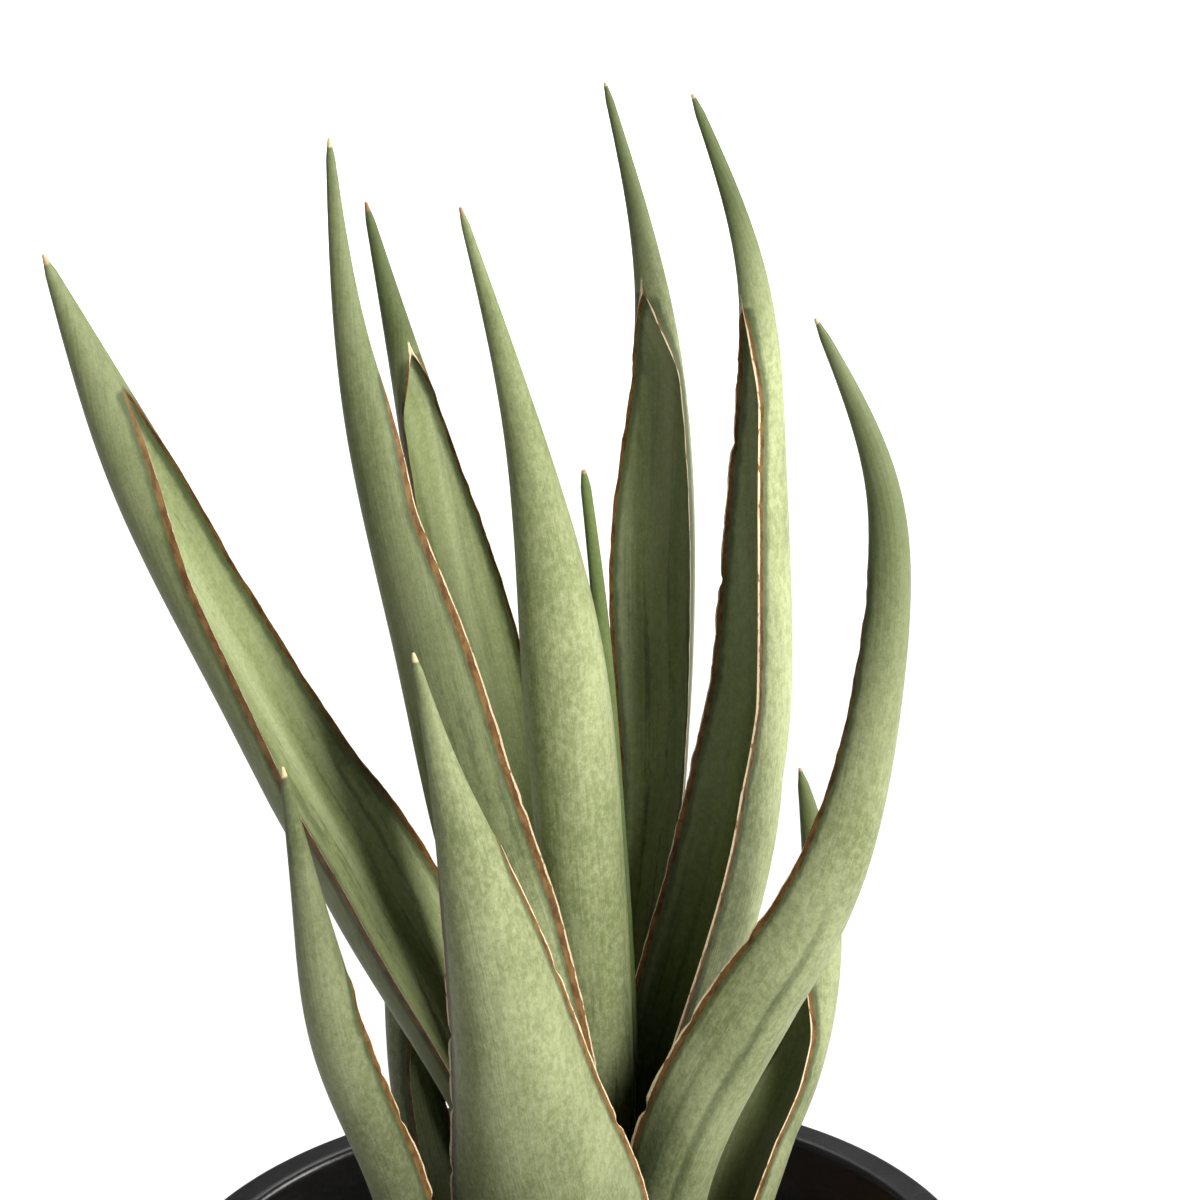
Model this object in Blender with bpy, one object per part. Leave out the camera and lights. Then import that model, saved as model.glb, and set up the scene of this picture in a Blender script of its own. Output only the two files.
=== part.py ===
"""Potted snake plant: twelve channelled leaves on a rhizome, in potting mix, in a nursery pot.

Metres, +Z up. The origin is the middle of the pot's flat underside, on the surface it stands on.
-Y is the front. Sizes in the tables below are millimetres and are turned into metres by MM.
"""

import math

import bmesh
import bpy
import numpy as np
from mathutils import Vector

MM = 0.001
FIT_GAP = 0.3 * MM

# Nursery pot: a thin tapered wall, a flat base with drainage holes, and a turned-over rim.
POT_HEIGHT = 140 * MM
RIM_RADIUS = 80 * MM
BASE_RADIUS = 54 * MM
WALL = 1.5 * MM
RIM_TOP_WIDTH = 6 * MM
RIM_SKIRT = 11 * MM
RIM_ROUND = 1.2 * MM
CORNER_BACK = 0.3
BASE_ROUND = 3 * MM
POT_SEGMENTS = 64
DRAIN_HOLES = 8
DRAIN_RADIUS = 4.5 * MM
DRAIN_RING = 38 * MM
DRAIN_SEGMENTS = 16

# Potting mix: fills the pot to a little below the rim and is slightly heaped at the crown.
MIX_TOP = 126 * MM
MIX_HEAP = 3 * MM
MIX_RINGS = 6

# Rhizome: the thick underground stem that every leaf grows from.
RHIZOME_TOP = 103.7 * MM
RHIZOME_RADII = (33 * MM, 23 * MM, 11 * MM)
RHIZOME_CENTRE = (4 * MM, -3 * MM)
RHIZOME_LUMPS = 0.07
RHIZOME_LEVEL = 0.35

# Every leaf starts at this height, under the potting mix. Its socket in the mix is wider all round
# and goes a little lower.
LEAF_FOOT = 104 * MM
SOCKET_GAP = 1.5 * FIT_GAP
SOCKET_DROP = 2 * MM

# A leaf's section is a thick crescent: a round outer face and a channel on the inner face.
LEAF_STATIONS = 18
STATIONS = [k / (LEAF_STATIONS - 1) for k in range(LEAF_STATIONS)]
OUTER_POINTS = 10
INNER_POINTS = 5
WALL_BASE = 1.0 * MM
WALL_SHARE = 0.38
CLOSED_CHANNEL = 0.04
ARCH_POWER = 0.75

# One row per leaf, at even steps from foot to tip. x and y place the middle of the leaf and half is
# half its width, all in mm; face is the compass direction of the outer face in degrees (0 is +X,
# -90 the front); channel is where the channel ends and how long its pointed end is, as shares of the
# length, and wide is how wide it is there, as a share of the leaf; lean is the same pair for the slow
# widening below that; deep is the section's depth over its half width.
LEAVES = {
    "leaf_front": dict(
        tip=284,
        x=(5, 1, -1, -3, -6, -9, -13, -18, -22.5),
        y=(-20, -33, -40, -42),
        half=(5.5, 10, 15.5, 17.5, 14, 10.5, 7, 3, 0.6),
        face=(-90, -92),
        channel=(0.86, 0.1), lean=(0.8, 0.45), wide=0.95,
        deep=(0.8, 0.75, 0.9, 1)),
    "leaf_front_left": dict(
        tip=266, x=(-15, -22, -27, -31, -38, -42, -45), y=(-16, -32, -42, -46),
        half=(5, 7, 6.5, 6, 5.5, 3, 0.6), face=(-120, -115),
        channel=(0.82, 0.12), lean=(0.78, 0.4), wide=0.9,
        deep=(0.9, 0.9, 1)),
    "leaf_front_right": dict(
        tip=336, x=(21, 20, 19, 27.5, 42, 52, 57, 57, 46), y=(-11, -21, -31, -30),
        half=(5.5, 7, 9.5, 9, 5.5, 3.5, 0.6), face=(-80, -65, -50, -45),
        channel=(0.875, 0.1), lean=(0.76, 0.3), wide=0.8,
        deep=(0.8, 0.9, 0.95, 1)),
    "leaf_tall_left": dict(
        tip=366, x=(2, 0.5, -5, -13, -19.5, -30, -33.5), y=(-10, -17, -18, -16),
        half=(5.5, 8, 10.5, 11.5, 9, 3.8, 0.6), face=(-105, -120, -140, -165, -170),
        channel=(0.845, 0.1), lean=(0.82, 0.35), wide=0.85,
        deep=(0.9, 0.95, 1, 1)),
    "leaf_centre": dict(
        tip=351, x=(8, 6, 6.5, 5, 2.5, -3, -12.5), y=(-2, -2, -2, -3),
        half=(5, 6.5, 7.5, 8, 7.5, 3.5, 0.6), face=(-85, -80),
        channel=(0.8, 0.2), lean=(0.72, 0.35), wide=0.7,
        deep=(0.9, 0.95, 1, 1)),
    "leaf_far_left": dict(
        tip=347, x=(-14, -7.5, -16, -34.5, -52, -69, -83), y=(-2, -3, -8, -12),
        half=(5, 9, 12, 13.5, 9.5, 6.5, 0.6), face=(152, 158, 162),
        channel=(0.9, 0.15), lean=(0.88, 0.35), wide=0.7,
        deep=(0.9, 0.9, 0.9)),
    "leaf_back_left": dict(
        tip=347, x=(2, -2, -5, -8, -14, -22, -30), y=(9, 16, 22, 24),
        half=(5, 8.5, 10, 8.5, 8, 4.2, 0.6), face=(115, 122, 125),
        channel=(0.885, 0.055), lean=(0.815, 0.3), wide=0.95,
        deep=(0.9, 0.95, 1, 1)),
    "leaf_young": dict(
        tip=300, x=(8.5, 9, 10.5, 11, 10.7, 10, 7.5), y=(3, 5.5, 8, 9),
        half=(3, 3.5, 4, 3.5, 2.5, 1.6, 0.9), face=(70, 70),
        channel=(0.66, 0.2), lean=(0.62, 0.3), wide=0.8,
        deep=(0.9, 1, 1)),
    "leaf_back_tall": dict(
        tip=367, x=(15, 14, 15, 20.5, 20.5, 21.5, 13.5), y=(16, 23, 25, 25),
        half=(5, 8, 6.5, 7, 8.5, 3.7, 0.6), face=(60, 56),
        channel=(0.857, 0.065), lean=(0.835, 0.3), wide=0.95,
        deep=(0.9, 1, 1)),
    "leaf_tall_right": dict(
        tip=368, x=(20, 16, 17.5, 26.5, 35, 37.5, 38.5, 38, 28), y=(0, 2, 4, 4),
        half=(5, 9.5, 11.5, 10.5, 6.5, 3, 0.6), face=(12, 16, 28, 38),
        channel=(0.86, 0.07), lean=(0.825, 0.3), wide=0.75,
        deep=(0.9, 1.2, 1.3, 1.2)),
    "leaf_rear_right": dict(
        tip=236, x=(26, 30, 35, 43.5, 50, 50.5, 47), y=(9, 16, 20, 22),
        half=(4.5, 8, 10, 8, 4.6, 3.2, 0.6), face=(25, 20),
        channel=(0.73, 0.14), lean=(0.8, 0.35), wide=0.7,
        deep=(0.9, 1, 1)),
    "leaf_rear_left": dict(
        tip=222, x=(-18, -25, -30, -33), y=(8, 16, 20, 22),
        half=(4, 6.5, 6.5, 3, 0.6), face=(150, 155),
        channel=(0.8, 0.2), lean=(0.78, 0.35), wide=0.8,
        deep=(0.9, 1, 1)),
}

LEAF_COLOUR = (0.23, 0.30, 0.15, 1)
POT_COLOUR = (0.012, 0.012, 0.013, 1)
MIX_COLOUR = (0.045, 0.028, 0.017, 1)
RHIZOME_COLOUR = (0.62, 0.42, 0.20, 1)


def clear_scene():
    """Start from nothing."""
    for thing in list(bpy.data.objects):
        bpy.data.objects.remove(thing, do_unlink=True)


def material(name, colour, roughness):
    """One Principled material."""
    made = bpy.data.materials.new(name)
    made.use_nodes = True
    shader = made.node_tree.nodes["Principled BSDF"]
    shader.inputs["Base Color"].default_value = colour
    shader.inputs["Roughness"].default_value = roughness
    return made


def finish(bm, name, made_of, sharp_angle=math.radians(40)):
    """Turn a bmesh into a named object with its own material, shaded smooth."""
    bmesh.ops.recalc_face_normals(bm, faces=bm.faces)
    mesh = bpy.data.meshes.new(name)
    bm.to_mesh(mesh)
    bm.free()
    mesh.shade_smooth()
    mesh.set_sharp_from_angle(angle=sharp_angle)
    mesh.materials.append(made_of)
    thing = bpy.data.objects.new(name, mesh)
    bpy.context.scene.collection.objects.link(thing)
    return thing


def along(values, share):
    """Natural cubic spline through evenly spaced values, read at a share from 0 to 1."""
    spans = len(values) - 1
    bends = np.zeros(spans + 1)
    if spans > 1:
        matrix = np.eye(spans + 1)
        right = np.zeros(spans + 1)
        for k in range(1, spans):
            matrix[k, k - 1:k + 2] = (1, 4, 1)
            right[k] = 6 * (values[k - 1] - 2 * values[k] + values[k + 1])
        bends = np.linalg.solve(matrix, right)
    place = min(max(share, 0.0), 1.0) * spans
    k = min(int(place), spans - 1)
    b = place - k
    a = 1 - b
    curve = (a ** 3 - a) * bends[k] + (b ** 3 - b) * bends[k + 1]
    return a * values[k] + b * values[k + 1] + curve / 6


def spine(leaf, share):
    """Middle of a leaf at a share of its height."""
    z = LEAF_FOOT + (leaf["tip"] * MM - LEAF_FOOT) * share
    return Vector((along(leaf["x"], share) * MM, along(leaf["y"], share) * MM, z))


def opened(end, share):
    """How far a channel is open, from 0 to 1, given where it ends and how long its arch is."""
    free = min(max((end[0] - share) / end[1], 0.0), 1.0)
    return math.sin(free * math.pi / 2) ** ARCH_POWER


def section(leaf, share, grow=0.0):
    """Closed outline of a leaf's section at a share of its height, as points in space."""
    step = 0.001
    tangent = (spine(leaf, min(share + step, 1)) - spine(leaf, max(share - step, 0))).normalized()
    heading = math.radians(along(leaf["face"], share))
    outward = Vector((math.cos(heading), math.sin(heading), 0))
    outward = (outward - outward.dot(tangent) * tangent).normalized()
    across = tangent.cross(outward)

    half = max(along(leaf["half"], share), 0.4) * MM
    depth = half * along(leaf["deep"], share)
    slow = opened(leaf["lean"], share)
    opening = opened(leaf["channel"], share) * (leaf["wide"] + (1 - leaf["wide"]) * slow)
    mouth = half * max(opening, CLOSED_CHANNEL)
    wrap = math.acos(mouth / half)
    lip = -depth * math.sin(wrap)
    thickness = WALL_BASE + WALL_SHARE * half
    hollow = max(depth - lip - thickness, 0.0) * opening
    middle = depth * (1 - math.sqrt(1 - max(slow, CLOSED_CHANNEL) ** 2)) / 2

    flat = []
    for k in range(OUTER_POINTS):
        turn = -wrap + (math.pi + 2 * wrap) * k / (OUTER_POINTS - 1)
        edge = grow if k in (0, OUTER_POINTS - 1) else 0
        flat.append(((half + grow) * math.cos(turn), (depth + grow) * math.sin(turn) - edge))
    for k in range(INNER_POINTS):
        turn = math.pi * (1 - (k + 1) / (INNER_POINTS + 1))
        flat.append(((mouth - grow) * math.cos(turn), lip + hollow * math.sin(turn) - grow))
    place = spine(leaf, share)
    points = [place + across * s + outward * (n - middle) for s, n in flat]
    if share == 0:
        points = [Vector((point.x, point.y, LEAF_FOOT)) for point in points]
    return points


def ring(bm, points):
    """A closed ring of edges with its points where they are given."""
    made = bmesh.ops.create_circle(bm, cap_ends=False, radius=1, segments=len(points))
    verts = made["verts"]
    for vert, point in zip(verts, points):
        vert.co = point
    return list({edge for vert in verts for edge in vert.link_edges})


def loft(sections):
    """Bridge a row of equal rings into one closed body."""
    bm = bmesh.new()
    rings = [ring(bm, points) for points in sections]
    for lower, upper in zip(rings, rings[1:]):
        bmesh.ops.bridge_loops(bm, edges=lower + upper)
    for end in (rings[0], rings[-1]):
        bmesh.ops.contextual_create(bm, geom=end)
    bmesh.ops.triangulate(bm, faces=[face for face in bm.faces if len(face.verts) > 4])
    return bm


def add_leaf(name, leaf, made_of):
    """One leaf, from its foot on the rhizome to its tip."""
    return finish(loft([section(leaf, share) for share in STATIONS]), name, made_of)


def add_pot(made_of):
    """The pot, turned from one closed profile, with drainage holes cut through its base."""
    wall_top = RIM_RADIUS - RIM_TOP_WIDTH
    under_rim = POT_HEIGHT - WALL
    profile = [
        (0, 0),
        (BASE_RADIUS - BASE_ROUND, 0),
        (BASE_RADIUS - BASE_ROUND * CORNER_BACK, BASE_ROUND * CORNER_BACK),
        (BASE_RADIUS, BASE_ROUND),
        (wall_top, under_rim - RIM_ROUND),
        (wall_top + RIM_ROUND, under_rim),
        (RIM_RADIUS - WALL - RIM_ROUND / 2, under_rim),
        (RIM_RADIUS - WALL, under_rim - RIM_ROUND / 2),
        (RIM_RADIUS - WALL, POT_HEIGHT - RIM_SKIRT),
        (RIM_RADIUS, POT_HEIGHT - RIM_SKIRT),
        (RIM_RADIUS, POT_HEIGHT - RIM_ROUND),
        (RIM_RADIUS - RIM_ROUND * CORNER_BACK, POT_HEIGHT - RIM_ROUND * CORNER_BACK),
        (RIM_RADIUS - RIM_ROUND, POT_HEIGHT),
        (wall_top, POT_HEIGHT),
        (wall_top - WALL * (1 - CORNER_BACK), POT_HEIGHT - WALL * CORNER_BACK),
        (wall_top - WALL, POT_HEIGHT - WALL),
        (BASE_RADIUS - WALL, BASE_ROUND),
        (BASE_RADIUS - BASE_ROUND, WALL),
        (0, WALL),
    ]
    bm = bmesh.new()
    verts = [bm.verts.new((radius, 0, z)) for radius, z in profile]
    edges = [bm.edges.new(pair) for pair in zip(verts, verts[1:])]
    bmesh.ops.spin(bm, geom=verts + edges, cent=(0, 0, 0), axis=(0, 0, 1), dvec=(0, 0, 0),
                   angle=math.tau, steps=POT_SEGMENTS, use_merge=True)
    bmesh.ops.remove_doubles(bm, verts=bm.verts, dist=0.00001)
    pot = finish(bm, "pot", made_of)

    holes = bmesh.new()
    for k in range(DRAIN_HOLES):
        turn = math.tau * k / DRAIN_HOLES
        made = bmesh.ops.create_cone(holes, cap_ends=True, segments=DRAIN_SEGMENTS, radius1=DRAIN_RADIUS,
                                     radius2=DRAIN_RADIUS, depth=4 * WALL)
        place = Vector((DRAIN_RING * math.cos(turn), DRAIN_RING * math.sin(turn), 0))
        bmesh.ops.translate(holes, verts=made["verts"], vec=place)
    cut(pot, cutter(finish(holes, "drain_cutter", made_of)))
    return pot


def cutter(thing):
    """Mark an object as one that only cuts."""
    thing.hide_render = True
    thing.display_type = "WIRE"
    return thing


def cut(thing, tool):
    """Take one object out of another."""
    boolean = thing.modifiers.new(tool.name, "BOOLEAN")
    boolean.operation = "DIFFERENCE"
    boolean.solver = "EXACT"
    boolean.object = tool


def rhizome_mesh(grow):
    """A flattened, slightly lumpy tuber whose top is level under the leaves."""
    bm = bmesh.new()
    bmesh.ops.create_icosphere(bm, subdivisions=3, radius=1)
    for vert in bm.verts:
        x, y, z = vert.co
        lumps = 1 + RHIZOME_LUMPS * math.sin(3 * x + 1) * math.cos(4 * y)
        size = [radius * lumps + grow for radius in RHIZOME_RADII]
        top = min(z * size[2], size[2] * RHIZOME_LEVEL)
        vert.co = (x * size[0] + RHIZOME_CENTRE[0], y * size[1] + RHIZOME_CENTRE[1], top)
    highest = max(vert.co.z for vert in bm.verts)
    bmesh.ops.translate(bm, verts=bm.verts, vec=(0, 0, RHIZOME_TOP + grow - highest))
    return bm


def add_potting_mix(made_of):
    """Potting mix that fills the pot, with the rhizome and the leaf feet let into it."""
    bottom = WALL + FIT_GAP
    slope = (RIM_RADIUS - RIM_TOP_WIDTH - BASE_RADIUS) / (POT_HEIGHT - WALL - RIM_ROUND - BASE_ROUND)

    def inside(z):
        """Radius of the mix against the pot wall at a height."""
        return BASE_RADIUS - WALL - FIT_GAP * 1.5 + slope * (z - BASE_ROUND)

    edge = inside(MIX_TOP)
    profile = [(0, bottom), (inside(bottom) - BASE_ROUND, bottom), (inside(2 * BASE_ROUND), 2 * BASE_ROUND)]
    for k in range(MIX_RINGS + 1):
        share = k / MIX_RINGS
        heap = MIX_HEAP * (1 - math.cos(math.pi * share)) / 2
        profile.append((edge * (1 - share), MIX_TOP + heap))
    bm = bmesh.new()
    verts = [bm.verts.new((radius, 0, z)) for radius, z in profile]
    edges = [bm.edges.new(pair) for pair in zip(verts, verts[1:])]
    bmesh.ops.spin(bm, geom=verts + edges, cent=(0, 0, 0), axis=(0, 0, 1), dvec=(0, 0, 0),
                   angle=math.tau, steps=POT_SEGMENTS // 2, use_merge=True)
    bmesh.ops.remove_doubles(bm, verts=bm.verts, dist=0.00001)
    mix = finish(bm, "potting_mix", made_of)
    cut(mix, cutter(finish(rhizome_mesh(FIT_GAP), "rhizome_cutter", made_of)))
    for name, leaf in LEAVES.items():
        above = (MIX_TOP + MIX_HEAP - LEAF_FOOT) / (leaf["tip"] * MM - LEAF_FOOT)
        buried = 2 + int(above * (LEAF_STATIONS - 1))
        outline = [section(leaf, share, SOCKET_GAP) for share in STATIONS[:buried]]
        foot = [point - Vector((0, 0, SOCKET_DROP)) for point in outline[0]]
        cut(mix, cutter(finish(loft([foot] + outline), name + "_cutter", made_of)))
    return mix


def build():
    """Make every piece of the plant."""
    clear_scene()
    leaf_finish = material("leaf", LEAF_COLOUR, 0.6)
    add_pot(material("pot", POT_COLOUR, 0.35))
    add_potting_mix(material("potting_mix", MIX_COLOUR, 0.95))
    finish(rhizome_mesh(0.0), "rhizome", material("rhizome", RHIZOME_COLOUR, 0.7))
    for name, leaf in LEAVES.items():
        add_leaf(name, leaf, leaf_finish)


build()
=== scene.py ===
"""Potted snake plant: the leaves, potting mix and nursery pot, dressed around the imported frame.

Metres, +Z up, -Y the front. Sizes in the tables are millimetres and are turned into metres by MM.
"""

from __future__ import annotations

import logging
import math
import random
from dataclasses import dataclass, field
from enum import Enum
from typing import Callable, Sequence

import bmesh
import bpy
import numpy as np
from mathutils import Matrix, Vector, noise

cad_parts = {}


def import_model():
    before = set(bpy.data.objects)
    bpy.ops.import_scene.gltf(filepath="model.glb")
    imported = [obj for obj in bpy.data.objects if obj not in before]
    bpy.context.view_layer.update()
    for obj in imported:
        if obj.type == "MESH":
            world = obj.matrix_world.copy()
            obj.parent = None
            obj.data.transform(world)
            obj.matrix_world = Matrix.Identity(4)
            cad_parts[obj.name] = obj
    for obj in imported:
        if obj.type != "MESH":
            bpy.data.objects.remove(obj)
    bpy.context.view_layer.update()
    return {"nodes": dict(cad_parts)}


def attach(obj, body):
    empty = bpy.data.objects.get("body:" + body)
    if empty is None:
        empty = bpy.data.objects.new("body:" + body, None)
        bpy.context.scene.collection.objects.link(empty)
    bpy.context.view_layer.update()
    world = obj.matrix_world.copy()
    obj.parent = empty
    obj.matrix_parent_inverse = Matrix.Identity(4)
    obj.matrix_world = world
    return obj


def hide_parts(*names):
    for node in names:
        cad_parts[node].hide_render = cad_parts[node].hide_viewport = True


MM = 0.001
TINY = 0.0005 * MM
ROOT = "root"
LOG = logging.getLogger("snake_plant")

Colour = tuple[float, float, float, float]


class Edge(Enum):
    """The two margins of a leaf, by which way they lie from its middle."""

    PLUS = 1
    MINUS = -1


# --------------------------------------------------------------------------------------------------
# Finishes
# --------------------------------------------------------------------------------------------------


@dataclass(frozen=True)
class LeafFinish:
    """Colours of the leaf skin, in linear values."""

    sage: Colour = (0.295, 0.330, 0.165, 1)
    sage_bright: Colour = (0.405, 0.430, 0.250, 1)
    sage_dull: Colour = (0.175, 0.205, 0.085, 1)
    channel: Colour = (0.155, 0.190, 0.066, 1)
    channel_bright: Colour = (0.300, 0.335, 0.175, 1)
    bottle: Colour = (0.030, 0.048, 0.016, 1)
    spike: Colour = (0.055, 0.072, 0.022, 1)
    young: Colour = (0.105, 0.155, 0.038, 1)
    rust: Colour = (0.075, 0.032, 0.008, 1)
    rust_pale: Colour = (0.175, 0.092, 0.028, 1)
    cream: Colour = (0.60, 0.49, 0.31, 1)
    straw: Colour = (0.62, 0.47, 0.27, 1)
    burnt: Colour = (0.22, 0.085, 0.03, 1)
    roughness: float = 0.52
    gloss: float = 0.22


@dataclass(frozen=True)
class PotFinish:
    """Black moulded plastic with a little dust."""

    body: Colour = (0.006, 0.006, 0.0065, 1)
    worn: Colour = (0.011, 0.011, 0.0115, 1)
    dust: Colour = (0.11, 0.105, 0.095, 1)
    roughness: float = 0.33
    gloss: float = 0.5


@dataclass(frozen=True)
class MixFinish:
    """Damp peat and bark."""

    peat: Colour = (0.009, 0.0055, 0.0032, 1)
    crumb: Colour = (0.026, 0.015, 0.008, 1)
    bark: Colour = (0.085, 0.042, 0.020, 1)
    bark_pale: Colour = (0.21, 0.125, 0.065, 1)
    roughness: float = 0.92


@dataclass(frozen=True)
class RhizomeFinish:
    """Pale skin of the underground stem."""

    skin: Colour = (0.55, 0.34, 0.15, 1)
    scar: Colour = (0.22, 0.11, 0.045, 1)
    roughness: float = 0.65


class Shading:
    """Short calls that wire one material's node tree."""

    def __init__(self, name: str) -> None:
        """Start an empty material with one Principled shader.

        Args:
            name: Name of the material.
        """
        self.material = bpy.data.materials.new(name)
        self.material.use_nodes = True
        self.tree = self.material.node_tree
        self.shader = self.tree.nodes["Principled BSDF"]

    def node(self, kind: str, **settings: object) -> bpy.types.Node:
        """Add a node and set its properties.

        Args:
            kind: Blender's name of the node type.
            **settings: Properties of the node.

        Returns:
            The new node.
        """
        made = self.tree.nodes.new(kind)
        for name, value in settings.items():
            setattr(made, name, value)
        return made

    def wire(self, socket: bpy.types.NodeSocket, value: object) -> None:
        """Link a socket to another, or set it to a plain value.

        Args:
            socket: The input to feed.
            value: An output socket, a number or a colour.
        """
        if isinstance(value, bpy.types.NodeSocket):
            self.tree.links.new(value, socket)
        elif socket.type == "VECTOR":
            socket.default_value = value[:3]
        else:
            socket.default_value = value

    def sums(self, operation: str, a: object, b: object = 0.0, c: object = 0.0) -> bpy.types.NodeSocket:
        """One Math node.

        Args:
            operation: Name of the operation.
            a: First input.
            b: Second input.
            c: Third input, where the operation has one.

        Returns:
            The node's output.
        """
        made = self.node("ShaderNodeMath", operation=operation)
        for socket, value in zip(made.inputs, (a, b, c)):
            self.wire(socket, value)
        return made.outputs[0]

    def times(self, a: object, b: object) -> bpy.types.NodeSocket:
        """Product of two values."""
        return self.sums("MULTIPLY", a, b)

    def plus(self, a: object, b: object) -> bpy.types.NodeSocket:
        """Sum of two values."""
        return self.sums("ADD", a, b)

    def step(self, value: object, low: object, high: object) -> bpy.types.NodeSocket:
        """Smooth step from 0 at low to 1 at high.

        Args:
            value: The value to read.
            low: Where the step starts.
            high: Where the step ends.

        Returns:
            A value from 0 to 1.
        """
        made = self.node("ShaderNodeMapRange", interpolation_type="SMOOTHSTEP")
        self.wire(made.inputs["Value"], value)
        self.wire(made.inputs["From Min"], low)
        self.wire(made.inputs["From Max"], high)
        return made.outputs["Result"]

    def blend(self, share: object, a: object, b: object) -> bpy.types.NodeSocket:
        """Colour between a and b.

        Args:
            share: 0 for a, 1 for b.
            a: First colour.
            b: Second colour.

        Returns:
            The mixed colour.
        """
        made = self.node("ShaderNodeMix", data_type="RGBA")
        self.wire(made.inputs[0], share)
        self.wire(made.inputs[6], a)
        self.wire(made.inputs[7], b)
        return made.outputs[2]

    def shade(self, colour: object, amount: object) -> bpy.types.NodeSocket:
        """A colour made lighter or darker.

        Args:
            colour: The colour.
            amount: What it is multiplied by.

        Returns:
            The shaded colour.
        """
        made = self.node("ShaderNodeVectorMath", operation="SCALE")
        self.wire(made.inputs[0], colour)
        self.wire(made.inputs["Scale"], amount)
        return made.outputs[0]

    def grain(self, vector: object, size: Sequence[float], detail: float = 3.0,
              rough: float = 0.5) -> bpy.types.NodeSocket:
        """Noise with features of a given size.

        Args:
            vector: Coordinates, in metres.
            size: Length of a feature along each axis, in mm.
            detail: Octaves of finer noise.
            rough: How strong the finer noise is.

        Returns:
            A value near 0.5, from 0 to 1.
        """
        scaled = self.node("ShaderNodeMapping")
        self.wire(scaled.inputs["Vector"], vector)
        scaled.inputs["Scale"].default_value = [1 / (part * MM) for part in size]
        made = self.node("ShaderNodeTexNoise")
        self.wire(made.inputs["Vector"], scaled.outputs[0])
        made.inputs["Scale"].default_value = 1.0
        made.inputs["Detail"].default_value = detail
        made.inputs["Roughness"].default_value = rough
        return made.outputs["Fac"]

    def place(self) -> bpy.types.NodeSocket:
        """Object coordinates, in metres."""
        return self.node("ShaderNodeTexCoord").outputs["Object"]

    def skin(self, layer: str) -> bpy.types.NodeSocket:
        """Coordinates of a named UV map."""
        return self.node("ShaderNodeUVMap", uv_map=layer).outputs["UV"]

    def parts(self, name: str) -> tuple[bpy.types.NodeSocket, ...]:
        """The three parts of a vector attribute.

        Args:
            name: Name of the attribute.

        Returns:
            Its X, Y and Z.
        """
        read = self.node("ShaderNodeAttribute", attribute_name=name)
        split = self.node("ShaderNodeSeparateXYZ")
        self.wire(split.inputs[0], read.outputs["Vector"])
        return tuple(split.outputs)

    def bump(self, height: object, rise: float) -> None:
        """Feed a height to the shader's normal.

        Args:
            height: A value from 0 to 1.
            rise: Height of 1, in metres.
        """
        made = self.node("ShaderNodeBump")
        made.inputs["Strength"].default_value = 1.0
        made.inputs["Distance"].default_value = rise
        self.wire(made.inputs["Height"], height)
        self.wire(self.shader.inputs["Normal"], made.outputs[0])

    def surface(self, colour: object, roughness: object, gloss: float) -> None:
        """Set colour, roughness and specular level.

        Args:
            colour: Base colour.
            roughness: Roughness.
            gloss: Specular level, the same all over.
        """
        self.wire(self.shader.inputs["Base Color"], colour)
        self.wire(self.shader.inputs["Roughness"], roughness)
        self.shader.inputs["Specular IOR Level"].default_value = gloss


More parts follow.
